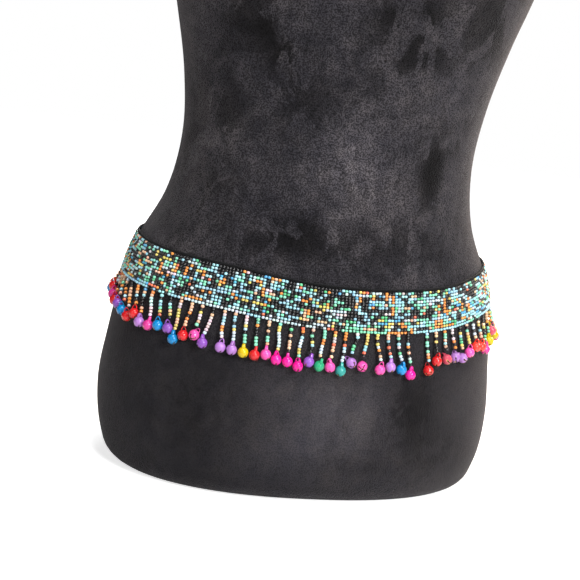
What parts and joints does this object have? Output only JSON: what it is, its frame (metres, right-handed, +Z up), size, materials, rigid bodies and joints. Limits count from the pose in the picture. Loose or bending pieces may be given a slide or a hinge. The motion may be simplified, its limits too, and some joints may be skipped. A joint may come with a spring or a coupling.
{
  "type": "beaded belt on a limbless dress form",
  "caption": "Hip belt woven from seed beads with a fringe of strands that end in jingle bells, worn by a limbless velvet dress form.",
  "frame": {"origin": "centre of the dress form's flat base, on the surface that it stands on", "axes": "+Z up along the form, -Y out of its front, +X towards the wearer's left"},
  "size_m": [0.3406, 0.2563, 0.745],
  "materials": {
    "velvet": "crushed black velvet",
    "seed_beads": "opaque glossy glass seed beads in mixed colours",
    "strand_beads": "opaque glossy glass beads and gloss-painted metal bells",
    "black_cord": "matt braided cord",
    "black_glass": "polished black glass"
  },
  "bodies": {
    "root": {"dress_form": "velvet", "bead_band": "seed_beads", "edge_cord": "black_cord", "fringe_1": "strand_beads", "fringe_2": "strand_beads", "fringe_3": "strand_beads", "fringe_4": "strand_beads", "fringe_5": "strand_beads", "fringe_6": "strand_beads", "fringe_7": "strand_beads", "fringe_8": "strand_beads", "closure_bead_1": "black_glass", "closure_bead_2": "black_glass", "closure_loop_1": "black_cord", "closure_loop_2": "black_cord"}
  },
  "joints": []
}
